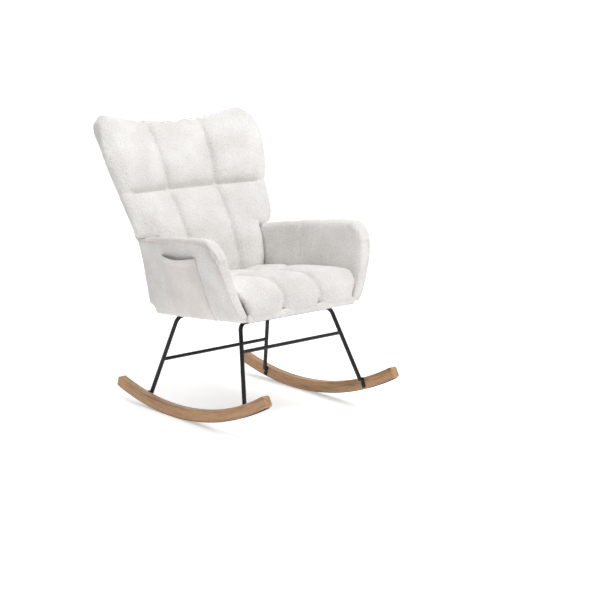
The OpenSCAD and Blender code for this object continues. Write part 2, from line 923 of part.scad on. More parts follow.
// Cross rails of the back, between the stiles
rail_d = 15;
rail_stations = [-1, -stile_f, -0.4, 0, 0.4, stile_f, 1];
// A rail follows the back's sweep and is flush with the stiles behind
function rail_rear(f, z) = abs(f) > stile_f ? stile_rear(z) : back_rear_y(f, z) - panel_t - 4;
module back_rail(z, tall) {
    color(pine)
        difference() {
            translate([0, 0, z])
                linear_extrude(tall)
                    polygon(concat(
                        [for (f = rail_stations) [f * pad_side_x(z), rail_rear(f, z)]],
                        [for (f = rail_stations) [-f * pad_side_x(z), rail_rear(-f, z) - rail_d]]));
            for (s = [1, -1])
                side(s) {
                    stile_blank();
                    translate([stile_f * pad_side_x(stile_foot) + (z - stile_foot) * tan(stile_lean) - stile_t / 2, 0, 0])
                        cube([runner_span, 4 * seat_rear, 2 * ear_top]);
                }
        }
}

back_foot_rail_z = pad_foot + 4;
module back_foot_rail() {
    difference() {
        back_rail(back_foot_rail_z, 40);
        color(pine)
            back_bolt_places()
                translate([0, 0, -10])
                    cylinder(d = bolt_d, h = 120);
    }
}

// Bolts come in from the rear, through the foot rail, into the seat's rear rail
bolt_x = 90;
module back_bolt_places() {
    for (x = [-bolt_x, bolt_x])
        translate([x, box_rear - rail_t, back_foot_rail_z + 4.5])
            rotate([-90, 0, 0])
                children();
}

back_foot_rail_rear = rail_rear(0, back_foot_rail_z);
module back_bolts() {
    length = back_foot_rail_rear - box_rear + rail_t;
    color(zinc)
        back_bolt_places()
            translate([0, 0, length])
                bolt(bolt_d, length);
}

module back_tee_nuts() {
    color(zinc)
        back_bolt_places()
            difference() {
                translate([0, 0, -1.5])
                    cylinder(d = bolt_d * 2.5, h = 1.5);
                translate([0, 0, -4])
                    cylinder(d = bolt_d, h = 8);
            }
}

// Elastic straps across the back, stapled behind the stiles
back_strap_zs = [for (i = [0:3]) blend(seat_bottom + 130, ear_top - 170, i / 3)];
module back_straps(extra) {
    for (z = back_strap_zs)
        let (slope = stile_rear(z + strap_w) - stile_rear(z), reach = stile_f * pad_side_x(z) + (z > arm_top ? 0 : 6))
            translate([-reach, stile_rear(z) - extra, z])
                rotate([-atan(slope / strap_w), 0, 0])
                    cube([2 * reach, strap_t + 2 * extra, strap_w - 2]);
}

module back_webbing() {
    color(strap)
        difference() {
            back_straps(0);
            for (s = [1, -1])
                side(s)
                    stile_blank();
            back_rails();
        }
}

module back_rails() {
    back_rail(back_foot_rail_z, 40);
    back_rail(mid_rail_z, 30);
    back_rail(stile_top - 60, 34);
}

mid_rail_z = seat_bottom + 255;
module back_timbers() {
    for (s = [1, -1])
        side(s)
            stile_blank();
    back_rails();
    back_bolt_places()
        translate([0, 0, -10])
            cylinder(d = bolt_d + 1, h = 400);
    back_bolt_places()
        translate([0, 0, back_foot_rail_rear - box_rear + rail_t - 1])
            cylinder(d = bolt_d * 2.2, h = 60);
}

module back_foam() {
    color(foam_cream)
        difference() {
            back_shape(fabric_t, "foam");
            back_timbers();
            seat_box_room();
        }
}

module back_cover() {
    color(boucle)
        difference() {
            back_shape(0, "cover");
            back_shape(fabric_t, "room");
            back_timbers();
            seat_box_room();
        }
}

// ---- pose ----

// Leans the chair back on its runners and centres it over the floor
front_reach = rocker_radius * sin(front_end + rest_lean);
rear_reach = back_rear_y(0, ear_top - top_dip) * cos(rest_lean) - (rocker_radius - ear_top + top_dip) * -sin(-rest_lean);
module posed() {
    translate([0, (front_reach - rear_reach) / 2, 0])
        around_centre(-rest_lean)
            children();
}

posed() runner(1);  // runner_left
posed() runner(-1);  // runner_right
posed() grip_strip(1);  // grip_strip_left
posed() grip_strip(-1);  // grip_strip_right
posed() leg_frame(true);  // front_leg_frame
posed() leg_frame(false);  // rear_leg_frame
posed() crossbar(true, front_bar_z);  // front_crossbar
posed() crossbar(false, rear_bar_z);  // rear_crossbar
posed() foot_plates();
posed() mount_plates();
posed() frame_bolts();
posed() frame_washers();
posed() seat_tee_nuts();
posed() foot_screws();
posed() runner_inserts();
posed() seat_end_rail(box_front);  // seat_front_rail
posed() seat_rear_rail();
posed() seat_side_rail(1);  // seat_side_rail_left
posed() seat_side_rail(-1);  // seat_side_rail_right
posed() slat(true);  // front_slat
posed() slat(false);  // rear_slat
posed() corner_blocks();
posed() webbing_long();
posed() webbing_cross();
posed() seat_foam();
posed() seat_cover();
posed() front_border();
posed() dust_cover();
posed() arm_base_rail(1);  // arm_base_rail_left
posed() arm_base_rail(-1);  // arm_base_rail_right
posed() arm_post(1, front_post_y);  // arm_front_post_left
posed() arm_post(-1, front_post_y);  // arm_front_post_right
posed() arm_post(1, rear_post_y);  // arm_rear_post_left
posed() arm_post(-1, rear_post_y);  // arm_rear_post_right
posed() arm_top_rail(1);  // arm_top_rail_left
posed() arm_top_rail(-1);  // arm_top_rail_right
posed() arm_foam(1);  // arm_foam_left
posed() arm_foam(-1);  // arm_foam_right
posed() arm_cover(1);  // arm_cover_left
posed() arm_cover(-1);  // arm_cover_right
posed() arm_piping(1);  // arm_piping_left
posed() arm_piping(-1);  // arm_piping_right
posed() side_pocket(1);  // side_pocket_left
posed() side_pocket(-1);  // side_pocket_right
posed() arm_bolts();
posed() arm_tee_nuts();
posed() back_stile(1);  // back_stile_left
posed() back_stile(-1);  // back_stile_right
posed() back_rail(stile_top - 60, 34);  // back_top_rail
posed() back_rail(mid_rail_z, 30);  // back_mid_rail
posed() back_foot_rail();
posed() back_webbing();
posed() back_foam();
posed() back_cover();
posed() back_panel();
posed() back_bolts();
posed() back_tee_nuts();
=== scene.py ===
# %% [markdown]
# # A wingback rocking chair
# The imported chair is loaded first. It is the fixed frame that every visible piece is built around:
# steel, timber and fastenings keep their own shape and get finishes, and the upholstery is built anew.

# %% Load the chair's frame
import json
import math

import bmesh
import bpy
import numpy as np
from mathutils import Matrix, Vector
from mathutils.bvhtree import BVHTree


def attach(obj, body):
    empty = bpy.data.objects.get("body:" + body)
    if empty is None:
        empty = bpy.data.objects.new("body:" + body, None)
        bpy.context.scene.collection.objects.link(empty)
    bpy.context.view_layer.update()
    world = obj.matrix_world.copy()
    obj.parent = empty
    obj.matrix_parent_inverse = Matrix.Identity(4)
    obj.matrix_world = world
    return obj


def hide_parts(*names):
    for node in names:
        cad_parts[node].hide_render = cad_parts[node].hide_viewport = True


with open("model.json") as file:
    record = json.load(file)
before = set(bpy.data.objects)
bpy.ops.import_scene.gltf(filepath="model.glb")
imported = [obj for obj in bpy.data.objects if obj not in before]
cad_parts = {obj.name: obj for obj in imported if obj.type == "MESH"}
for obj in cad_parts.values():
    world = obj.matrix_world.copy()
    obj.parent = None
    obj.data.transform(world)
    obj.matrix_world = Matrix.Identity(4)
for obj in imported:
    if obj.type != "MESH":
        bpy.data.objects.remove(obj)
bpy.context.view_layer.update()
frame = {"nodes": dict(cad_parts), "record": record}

nodes = frame["nodes"]
scene = bpy.context.scene

# %% [markdown]
# ## Camera
# The view is a three-quarter one from the sitter's right, a little above the seat, with a long lens,
# as a furniture studio takes it. The position and the three directions of the view are given outright.

# %% Camera
camera = bpy.data.objects.new("camera", bpy.data.cameras.new("camera"))
scene.collection.objects.link(camera)
CAMERA_PLACE = (-3.131, -3.815, 1.371)
RIGHT, UP, BACK = (0.7487, -0.6629, 0.0), (0.1326, 0.1498, 0.9798), (-0.6495, -0.7336, 0.2001)
LENS_MM, SENSOR_MM, FARTHEST_M = 89.04, 36, 60
turn = Matrix((RIGHT, UP, BACK)).transposed().to_4x4()
camera.matrix_world = Matrix.Translation(CAMERA_PLACE) @ turn
camera.data.lens = LENS_MM
camera.data.sensor_width = SENSOR_MM
camera.data.clip_end = FARTHEST_M
scene.camera = camera
print("camera lens", LENS_MM, "mm")

# %% [markdown]
# ## Level and rest
# The chair is drawn level, in millimetres, with the lowest point of its runners at the origin. At rest
# it has rolled back a few degrees. These two functions carry points between the level drawing and
# the chair at rest, which is in metres.

# %% Level drawing and rest pose
LEAN = math.radians(5)    # how far the chair has rolled back
CENTRE = 1028.0           # the height of the rocking centre
contact_y = frame["record"]["mounts"][0]["pos_m"][1]


def to_level(points):
    p = np.asarray(points, float) * 1000
    y, z = p[..., 1] - contact_y * 1000, p[..., 2] - CENTRE
    return np.stack([p[..., 0], y * math.cos(LEAN) - z * math.sin(LEAN),
                     CENTRE + y * math.sin(LEAN) + z * math.cos(LEAN)], -1)


def to_rest(points):
    p = np.asarray(points, float)
    y, z = p[..., 1], p[..., 2] - CENTRE
    return np.stack([p[..., 0], y * math.cos(LEAN) + z * math.sin(LEAN) + contact_y * 1000,
                     CENTRE - y * math.sin(LEAN) + z * math.cos(LEAN)], -1) / 1000


print("contact line at y =", round(contact_y, 4))

# %% [markdown]
# ## Arms, as drawn
# An arm leans out quickly above the seat's lower edge and then more slowly, and it flares
# towards the front. Seams, piping and pockets lie on this surface, so its rule is written once.

# %% The arm's surface
SEAT_LOW, ARM_TOP, SEAT_FRONT, SEAT_REAR = 335.0, 606.0, 290.0, 189.0
ARM_RISE, ARM_CORNER, HALF_SEAT = 271.0, 110.0, 246.0
FLARE_REAR, FLARE_FRONT = 34.0, 112.0


def arm_out(y, z):
    rise = np.clip((z - SEAT_LOW) / ARM_RISE, 0, None) ** 0.65
    share = (SEAT_REAR - y) / (SEAT_REAR + SEAT_FRONT)
    return HALF_SEAT + rise * (FLARE_REAR + (FLARE_FRONT - FLARE_REAR) * share)


def arm_front(z):
    above = np.clip(z - ARM_TOP + ARM_CORNER, 0, ARM_CORNER)
    under = 16 * np.clip(1 - (z - SEAT_LOW) / 36, 0, 1) ** 2
    rounding = ARM_CORNER - np.sqrt(ARM_CORNER ** 2 - above ** 2)
    return -SEAT_FRONT + (z - SEAT_LOW) * 0.04 + under + rounding


print("arm top outer x at the front:", round(float(arm_out(-180, ARM_TOP)), 1))

# %% [markdown]
# ## Colours and nodes
# Colours are written as sRGB hex, as a paint chart gives them, and one function turns them into the
# linear values that shaders use. One function adds a node with its settings and links.

# %% Colour and node helpers
def linear(hex_colour):
    parts = [int(hex_colour[i:i + 2], 16) / 255 for i in (1, 3, 5)]
    return (*[c / 12.92 if c <= 0.04045 else ((c + 0.055) / 1.055) ** 2.4 for c in parts], 1.0)


def add(tree, kind, links=None, **settings):
    """Adds a node. Settings are its own values, and links are its inputs: a socket or a value each."""
    made = tree.nodes.new("ShaderNode" + kind)
    for key, value in settings.items():
        setattr(made, key, value)
    for key, value in (links or {}).items():
        if isinstance(value, bpy.types.NodeSocket):
            tree.links.new(value, made.inputs[key])
        else:
            made.inputs[key].default_value = value
    return made


def new_finish(name):
    material = bpy.data.materials.new(name)
    material.use_nodes = True
    tree = material.node_tree
    tree.nodes.clear()
    shader = add(tree, "BsdfPrincipled")
    add(tree, "OutputMaterial", {"Surface": shader.outputs[0]})
    return material, tree, shader


def ramp(tree, factor, low, high, start=0.0, end=1.0):
    made = add(tree, "ValToRGB", {"Fac": factor})
    made.color_ramp.elements[0].color, made.color_ramp.elements[1].color = linear(low), linear(high)
    made.color_ramp.elements[0].position, made.color_ramp.elements[1].position = start, end
    return made.outputs["Color"]


# %% [markdown]
# ## Boucle
# Boucle is woven from yarn with small loops, so it scatters light softly and never shines. Its loops
# are about 4 mm across: a cell pattern gives the loops, a finer one the yarn's fuzz, and a slow
# noise the uneven tone of the cloth. The hollows between the loops are painted darker, as painted shade.
# A little sheen stands for the fuzz that catches light at the edges.

# %% Boucle finishes
def boucle(name, light, dark, loop_mm, height_mm):
    material, tree, shader = new_finish(name)
    place = add(tree, "TexCoord").outputs["Object"]
    loops = add(tree, "TexVoronoi", {"Vector": place, "Scale": 1000 / loop_mm, "Randomness": 1.0},
                feature="SMOOTH_F1")
    wobble = add(tree, "TexNoise", {"Vector": place, "Scale": 1000 / (loop_mm * 2.6), "Detail": 3.0})
    fuzz = add(tree, "TexNoise", {"Vector": place, "Scale": 1000 / (loop_mm * 0.45), "Detail": 2.0})
    tone = add(tree, "TexNoise", {"Vector": place, "Scale": 9.0, "Detail": 2.0})
    height = add(tree, "Math", {0: loops.outputs["Distance"], 1: wobble.outputs[0]}, operation="ADD")
    height = add(tree, "Math", {0: fuzz.outputs[0], 1: 0.35, 2: height.outputs[0]},
                 operation="MULTIPLY_ADD")
    bump = add(tree, "Bump", {"Height": height.outputs[0], "Strength": 0.85,
                              "Distance": height_mm / 1000}, invert=True)
    # Painted shade: the colour darkens in the hollows between the loops, where the cell pattern sinks,
    # and the slow noise adds the cloth's uneven tone
    grain = add(tree, "Math", {0: loops.outputs["Distance"], 1: 0.55, 2: tone.outputs[0]},
                operation="MULTIPLY_ADD")
    colour = ramp(tree, grain.outputs[0], light, dark, 0.25, 1.15)
    tree.links.new(colour, shader.inputs["Base Color"])
    tree.links.new(bump.outputs[0], shader.inputs["Normal"])
    shader.inputs["Roughness"].default_value = 0.95
    shader.inputs["Specular IOR Level"].default_value = 0.15
    shader.inputs["Sheen Weight"].default_value = 0.12
    shader.inputs["Sheen Roughness"].default_value = 0.6
    return material


cream_boucle = boucle("cream_boucle", "#f4f3f1", "#d9d6d2", 4.6, 2.4)
trim_boucle = boucle("trim_boucle", "#f2eeeb", "#d8d1cd", 3.4, 1.4)

# %% [markdown]
# ## Wood
# The runners are bent laminated beech in a satin lacquer. The grain follows the bend, so the wood is
# coloured in rings round the rocking centre: along the bend the pattern is stretched, across it fine.

# %% Wood finishes
def wood(name, light, dark, streak, along_mm, across_mm, rough, bent=True):
    material, tree, shader = new_finish(name)
    place = add(tree, "TexCoord").outputs["Object"]
    split = add(tree, "SeparateXYZ", {0: place})
    if bent:
        y = add(tree, "Math", {0: split.outputs[1], 1: contact_y}, operation="SUBTRACT").outputs[0]
        z = add(tree, "Math", {0: CENTRE / 1000, 1: split.outputs[2]}, operation="SUBTRACT").outputs[0]
        angle = add(tree, "Math", {0: y, 1: z}, operation="ARCTAN2").outputs[0]
        y2 = add(tree, "Math", {0: y, 1: y}, operation="MULTIPLY").outputs[0]
        square = add(tree, "Math", {0: z, 1: z, 2: y2}, operation="MULTIPLY_ADD").outputs[0]
        radius = add(tree, "Math", {0: square, 1: 0.5}, operation="POWER").outputs[0]
        along, across = angle, radius
    else:
        along, across = split.outputs[0], split.outputs[2]
    side = split.outputs[0] if bent else split.outputs[1]
    stretched = add(tree, "CombineXYZ", {
        0: add(tree, "Math", {0: along, 1: 1000 / along_mm}, operation="MULTIPLY").outputs[0],
        1: add(tree, "Math", {0: across, 1: 1000 / across_mm}, operation="MULTIPLY").outputs[0],
        2: add(tree, "Math", {0: side, 1: 1000 / across_mm}, operation="MULTIPLY").outputs[0]})
    grain = add(tree, "TexNoise", {"Vector": stretched.outputs[0], "Scale": 1.0, "Detail": 6.0,
                                   "Roughness": 0.62, "Distortion": 0.5})
    broad = add(tree, "TexNoise", {"Vector": stretched.outputs[0], "Scale": 0.22, "Detail": 3.0})
    mixed = add(tree, "Math", {0: broad.outputs[0], 1: 0.9, 2: grain.outputs[0]},
                operation="MULTIPLY_ADD")
    colour = ramp(tree, mixed.outputs[0], dark, light, 0.62, 1.25)
    pores = add(tree, "TexNoise", {"Vector": stretched.outputs[0], "Scale": 3.5, "Detail": 3.0})
    line = add(tree, "MapRange", {0: pores.outputs[0], 1: 0.58, 2: 0.72, 3: 0.0, 4: 0.55})
    final = add(tree, "MixRGB", {"Fac": line.outputs[0], "Color1": colour, "Color2": linear(streak)})
    bump = add(tree, "Bump", {"Height": pores.outputs[0], "Strength": 0.12, "Distance": 0.0004})
    tree.links.new(final.outputs[0], shader.inputs["Base Color"])
    tree.links.new(bump.outputs[0], shader.inputs["Normal"])
    shader.inputs["Roughness"].default_value = rough
    shader.inputs["Specular IOR Level"].default_value = 0.4
    return material


beech_lacquered = wood("beech_lacquered", "#bf956d", "#7c5d43", "#5f4532", 90, 5.0, 0.5)
pine_sawn = wood("pine_sawn", "#e2c79a", "#c9a56f", "#a57f4d", 140, 9.0, 0.8, bent=False)

# %% [markdown]
# ## Steel, rubber and the hidden materials
# The frame is steel tube under a black satin powder coat, which has a very fine orange-peel. The strips
# under the runners are matt rubber. Zinc plate, turned brass, straps, foam and dust cloth are hidden.

# %% Other finishes
def plain(name, light, dark, spot_mm, rough, metallic=0.0, bump_mm=0.05):
    material, tree, shader = new_finish(name)
    place = add(tree, "TexCoord").outputs["Object"]
    spots = add(tree, "TexNoise", {"Vector": place, "Scale": 1000 / spot_mm, "Detail": 3.0})
    slow = add(tree, "TexNoise", {"Vector": place, "Scale": 25.0, "Detail": 2.0})
    tree.links.new(ramp(tree, slow.outputs[0], dark, light, 0.35, 0.65), shader.inputs["Base Color"])
    bump = add(tree, "Bump", {"Height": spots.outputs[0], "Strength": 0.4, "Distance": bump_mm / 1000})
    tree.links.new(bump.outputs[0], shader.inputs["Normal"])
    rough_range = add(tree, "MapRange", {0: spots.outputs[0], 3: rough - 0.06, 4: rough + 0.06})
    tree.links.new(rough_range.outputs[0], shader.inputs["Roughness"])
    shader.inputs["Metallic"].default_value = metallic
    return material


finishes = {
    "boucle_fabric": cream_boucle,
    "trim_fabric": trim_boucle,
    "oak": beech_lacquered,
    "pine": pine_sawn,
    "black_steel": plain("black_powder_coat", "#101011", "#09090a", 1.2, 0.5, bump_mm=0.06),
    "grip_rubber": plain("black_rubber", "#1a1a1a", "#0f0f0f", 2.0, 0.85, bump_mm=0.2),
    "zinc_steel": plain("zinc_plate", "#b9bdc2", "#9a9ea3", 3.0, 0.35, 1.0),
    "brass_insert": plain("turned_brass", "#c9a354", "#a98339", 3.0, 0.3, 1.0),
    "foam": plain("cut_foam", "#efe4bf", "#e2d4a6", 1.5, 0.95, bump_mm=0.6),
    "webbing": plain("woven_strap", "#3a3835", "#262422", 2.0, 0.8, bump_mm=0.4),
    "dust_cloth": plain("nonwoven_cloth", "#242424", "#161616", 2.5, 0.95, bump_mm=0.2),
}
for sub in frame["record"]["subparts"]:
    mesh = nodes[sub["node"]].data
    mesh.materials.clear()
    mesh.materials.append(finishes[sub["material_slot"]])
print("finishes:", ", ".join(sorted(m.name for m in finishes.values())))

# %% [markdown]
# ## Upholstery
# Each padded piece starts from its own solids in the frame: they are joined, remeshed into one skin
# of even quads, and smoothed, so that the cut edges turn into the soft edges of foam under cloth.

# %% Soft copies of the frame's solids
def link(data, name):
    made = bpy.data.objects.new(name, data)
    scene.collection.objects.link(made)
    return made


def apply_all(piece):
    bpy.context.view_layer.update()
    fresh = bpy.data.meshes.new_from_object(piece.evaluated_get(bpy.context.evaluated_depsgraph_get()))
    piece.modifiers.clear()
    piece.data = fresh
    for face in fresh.polygons:
        face.use_smooth = True
    return piece


def soft_copy(name, sources, voxel_mm, smoothing):
    joined = bmesh.new()
    for source in sources:
        joined.from_mesh(nodes[source].data)
    bmesh.ops.remove_doubles(joined, verts=joined.verts, dist=1e-5)
    mesh = bpy.data.meshes.new(name)
    joined.to_mesh(mesh)
    joined.free()
    piece = link(mesh, name)
    remesh = piece.modifiers.new("skin", "REMESH")
    remesh.mode, remesh.voxel_size = "VOXEL", voxel_mm / 1000
    smooth = piece.modifiers.new("soften", "SMOOTH")
    smooth.factor, smooth.iterations = 0.5, smoothing
    apply_all(piece)
    print(name, len(piece.data.vertices), "points")
    return piece


def cord_along(name, level_points, radius_m):
    """A round cord through level points."""
    curve = bpy.data.curves.new(name, "CURVE")
    curve.dimensions, curve.bevel_depth, curve.bevel_resolution = "3D", radius_m, 4
    curve.use_fill_caps = True
    spline = curve.splines.new("POLY")
    spline.points.add(len(level_points) - 1)
    for point, place in zip(spline.points, to_rest(level_points)):
        point.co = (*place, 1)
    return link(curve, name)


def inflate(piece, cap_mm, pressure=4.0, frames=14):
    """Lets the padding swell against its cover as cloth under pressure, by no more than the cap."""
    rest_count = len(piece.data.vertices) * 3
    before, after = np.zeros(rest_count), np.zeros(rest_count)
    piece.data.vertices.foreach_get("co", before)
    cloth = piece.modifiers.new("padding", "CLOTH")
    cloth.settings.quality = 4
    cloth.settings.mass = 0.4
    cloth.settings.tension_stiffness = cloth.settings.compression_stiffness = 25
    cloth.settings.use_pressure, cloth.settings.uniform_pressure_force = True, pressure
    cloth.settings.effector_weights.gravity = 0
    cloth.point_cache.frame_start, cloth.point_cache.frame_end = 1, frames
    for number in range(1, frames + 1):
        scene.frame_set(number)
    swollen = piece.evaluated_get(bpy.context.evaluated_depsgraph_get()).to_mesh()
    swollen.vertices.foreach_get("co", after)
    piece.modifiers.clear()
    scene.frame_set(1)
    move = (after - before).reshape(-1, 3)
    length = np.linalg.norm(move, axis=1, keepdims=True)
    move *= np.minimum(1, cap_mm / 1000 / np.maximum(length, 1e-9))
    piece.data.vertices.foreach_set("co", (before.reshape(-1, 3) + move).ravel())
    piece.data.update()
    middle = round(float(np.median(length)) * 1000, 1)
    print(piece.name, "swelled by", middle, "mm before the cap of", cap_mm, "mm")


def points_of(piece):
    """Points and outward directions of a piece, both in the level drawing."""
    count = len(piece.data.vertices)
    co, no = np.zeros(count * 3), np.zeros(count * 3)
    piece.data.vertices.foreach_get("co", co)
    piece.data.vertices.foreach_get("normal", no)
    no = no.reshape(-1, 3)
    y, z = no[:, 1].copy(), no[:, 2].copy()
    no[:, 1] = y * math.cos(LEAN) - z * math.sin(LEAN)
    no[:, 2] = y * math.sin(LEAN) + z * math.cos(LEAN)
    return to_level(co.reshape(-1, 3)), no


def put_points(piece, level_points):
    piece.data.vertices.foreach_set("co", to_rest(level_points).ravel())
    piece.data.update()


def step(value, low, high):
    t = np.clip((value - low) / (high - low), 0, 1)
    return t * t * (3 - 2 * t)


def groove(distance, deep, wide):
    """A sewn channel: deepest on its line, with soft shoulders."""
    return -deep * np.exp(-(np.abs(distance) / wide) ** 1.25)


def crown(t, power=2.2):
    """A puff's height across its cell, t from 0 to 1."""
    return 1 - np.abs(2 * np.clip(t, 0, 1) - 1) ** power


# %% [markdown]
# ## Back
# The back is one padded shell with wings. Two sewn channels run down it and one crosses it, so it
# puffs into six cells. Each cell is raised towards its middle, and each channel pulls the cloth in.

# %% Back cushion
BACK_FOOT, BACK_CROSS, BACK_HIGH = 440.0, 749.0, 975.0


def back_channel(z):
    """How far each of the two channels runs from the middle line."""
    return np.interp(z, [BACK_FOOT, ARM_TOP, BACK_CROSS, BACK_HIGH], [98, 100, 101, 114])


def back_rear(z):
    """The rear face of the back at its side edges."""
    return 228 + 0.175 * (z - 550 + np.sqrt((z - 550) ** 2 + 60 ** 2))


back_cushion = soft_copy("back_cushion", [
    "back_cover", "back_foam", "back_stile_left", "back_stile_right", "back_top_rail", "back_mid_rail",
    "back_foot_rail", "back_webbing", "back_panel"], 4.2, 14)
inflate(back_cushion, 4)
p, n = points_of(back_cushion)
front_side = step(-n[:, 1], 0.15, 0.55)
x, z = np.abs(p[:, 0]), p[:, 2]
line = back_channel(z)
edge = np.interp(z, [450, ARM_TOP, BACK_CROSS, BACK_HIGH], [228, 262, 290, 335])
across = np.where(x < line, (x + line) / (2 * line), (x - line) / (edge - line))
top = np.interp(x, [0, 120, 267, 335], [968, 975, 1000, 965])
along = np.where(z < BACK_CROSS, (z - BACK_FOOT) / (BACK_CROSS - BACK_FOOT),
                 (z - BACK_CROSS) / (top - BACK_CROSS))
rise = np.where(z < BACK_CROSS, 4, 12)
lift = (rise + 12 * crown(across)) * crown(along, 2.6)
pull = groove(x - line, 16, 10) + groove(z - BACK_CROSS, 15, 10) * step(edge - x, 0, 30)
pull *= 0.3 + 0.7 * step(top - z, 8, 45)
p += n * ((lift + np.maximum(pull, -18 + 5 * step(z, 830, 870))) * front_side)[:, None]
# The covered board behind is sewn to the shell all round, so a seam runs between them
side_band = step(1 - np.abs(n[:, 1]), 0.3, 0.7)
seam = groove(back_rear(z) - 12 - p[:, 1], 3, 4) * side_band * step(z, 610, 630)
p += n * seam[:, None]
# The wings are fullest along their front edges, and they rest on the arms
full = step(np.abs(n[:, 0]), 0.25, 0.8) * step(0.0 - n[:, 1], -0.6, 0.3)
full *= step(z, 585, 640) * step(990 - z, 0, 90)
full *= step(back_rear(z) - p[:, 1], 12, 48)
p[:, 0] += np.sign(p[:, 0]) * np.interp(z, [600, 700, 850, 960], [26, 21, 15, 8]) * full
foot = step(640 - z, 0, 30) * step(z, 585, 604) * step(x, 205, 235)
p[:, 2] -= 16 * foot
# The board is a little narrower than the shell in front of it
p[:, 0] *= 1 - 0.013 * step(p[:, 1] - back_rear(z) + 28, 0, 14) * step(z, 610, 640)
put_points(back_cushion, p)

# %% [markdown]
# ## Seat
# The seat cushion rolls over its front edge. Two channels run from front to back and one crosses it.

# %% Seat cushion
SEAT_CHANNEL, SEAT_CROSS, SEAT_EDGE, SEAT_DEEP = 77.0, 9.0, 226, 150
seat_cushion = soft_copy("seat_cushion", ["seat_cover", "seat_foam", "webbing_long"], 4.5, 8)
inflate(seat_cushion, 5)
p, n = points_of(seat_cushion)
top_side = step(np.maximum(n[:, 2], -n[:, 1]), 0.1, 0.5)
x, y = np.abs(p[:, 0]), p[:, 1]
across = np.where(x < SEAT_CHANNEL, (x + SEAT_CHANNEL) / (2 * SEAT_CHANNEL),
                  (x - SEAT_CHANNEL) / (SEAT_EDGE - SEAT_CHANNEL))
along = np.where(y < SEAT_CROSS, (y + SEAT_FRONT + 20) / (SEAT_CROSS + SEAT_FRONT + 20),
                 (y - SEAT_CROSS) / SEAT_DEEP)
lift = 10 * crown(across) * crown(along, 3)
flat_top = step(n[:, 2], 0.3, 0.8)
pull = groove(x - SEAT_CHANNEL, 12, 10) + groove(y - SEAT_CROSS, 11, 10) * flat_top
p += n * ((lift + np.maximum(pull, -14)) * top_side)[:, None]
# The cover is drawn down to the border in front
drop = step(-p[:, 1], 230, 275) * step(378 - p[:, 2], 0, 14)
p[:, 2] -= 8 * drop
put_points(seat_cushion, p)

# %% Front border
BORDER_LOW = SEAT_LOW + 1
border = soft_copy("front_border_roll", ["front_border"], 3, 4)
p, n = points_of(border)
p[:, 0] *= 1.16
p[:, 2] = BORDER_LOW + (p[:, 2] - BORDER_LOW) * 1.3
p[:, 1] -= 2
put_points(border, p)

# %% [markdown]
# ## Arms
# Each arm is a thin padded wall, full and round along its top, with one upright seam on its inner side.

# %% Arms
arms = {}
for side, sign in (("left", 1), ("right", -1)):
    arm = soft_copy("arm_pad_" + side, [part + side for part in (
        "arm_cover_", "arm_foam_", "arm_top_rail_", "arm_front_post_", "arm_rear_post_",
        "arm_base_rail_")], 4.5, 8)
    p, n = points_of(arm)
    inner = step(-n[:, 0] * sign, 0.3, 0.8)
    tall = crown((p[:, 2] - SEAT_LOW - 80) / (ARM_RISE - 80), 2)
    long = crown((p[:, 1] + SEAT_FRONT) / 460, 3)
    seam = groove(p[:, 1] + 2, 6, 7) * step(p[:, 2], 430, 460) * step(612 - p[:, 2], 0, 20)
    p += n * ((5 * tall * long + seam) * inner)[:, None]
    corner = step(-n[:, 1], 0.15, 0.6) * step(n[:, 2], 0.15, 0.6) * step(p[:, 2], 480, 540)
    p += n * (9 * corner)[:, None]
    p[:, 2] += np.interp(p[:, 1], [-200, -50, 100, 200], [7, 4, -3, -9]) * step(p[:, 2], 510, 600)
    put_points(arm, p)
    arms[side] = arm

# %% [markdown]
# ## Pockets
# A pocket is one sheet of the same cloth, sewn to the arm along three edges. Its mouth is hemmed,
# hangs a little lower in the middle and gapes.

# %% Pockets
POCKET_FRONT, POCKET_W, POCKET_LOW, POCKET_HIGH = -148.0, 216.0, 339.0, 546.0


def pocket_place(u, v):
    y = POCKET_FRONT + u * (POCKET_W + 34 * (1 - v))
    z = POCKET_LOW + (POCKET_HIGH - 10 * np.sin(np.pi * u) - POCKET_LOW) * v
    rim = np.minimum(np.minimum(u, 1 - u) * POCKET_W, v * (POCKET_HIGH - POCKET_LOW))
    off = -0.6 + 3.0 * (1 - np.exp(-rim / 4)) + 15 * np.sin(np.pi * u) ** 0.8 * v ** 1.6
    off += 1.8 * np.clip((v - 0.92) / 0.015, 0, 1)
    off += 1.5 * np.sin(9 * u + 4 * v) * np.sin(np.pi * u) * np.sin(np.pi * v)
    return np.stack([arm_out(y, z) + off, y, z], -1)


COLS, ROWS, MOUTH_POINTS = 44, 40, 30
for side, sign in (("left", 1), ("right", -1)):
    u, v = np.meshgrid(np.linspace(0, 1, COLS), np.linspace(0, 1, ROWS))
    grid = pocket_place(u, v).reshape(-1, 3)
    grid[:, 0] *= sign
    faces = [(r * COLS + c, r * COLS + c + 1, (r + 1) * COLS + c + 1, (r + 1) * COLS + c)
             for r in range(ROWS - 1) for c in range(COLS - 1)]
    if sign < 0:
        faces = [f[::-1] for f in faces]
    mesh = bpy.data.meshes.new("pocket_" + side)
    mesh.from_pydata(to_rest(grid).tolist(), [], faces)
    pocket = link(mesh, "pocket_" + side)
    thick = pocket.modifiers.new("cloth", "SOLIDIFY")
    thick.thickness, thick.offset = 0.002, 0
    apply_all(pocket)
    mouth = pocket_place(np.linspace(0, 1, MOUTH_POINTS), np.ones(MOUTH_POINTS))
    mouth[:, 0] = sign * (mouth[:, 0] + 0.5)
    hem = cord_along("pocket_hem_" + side, mouth, 0.0026)
    for piece in (pocket, hem):
        piece.data.materials.clear()
        piece.data.materials.append(trim_boucle)
        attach(piece, "root")
    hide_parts("side_pocket_" + side)

# %% [markdown]
# ## Piping
# A cord covered in the same cloth is sewn into the seam between an arm's outer side and its front band.

# %% Piping
SEAM_HIGH, SEAM_REAR = ARM_TOP - 13, 215.0


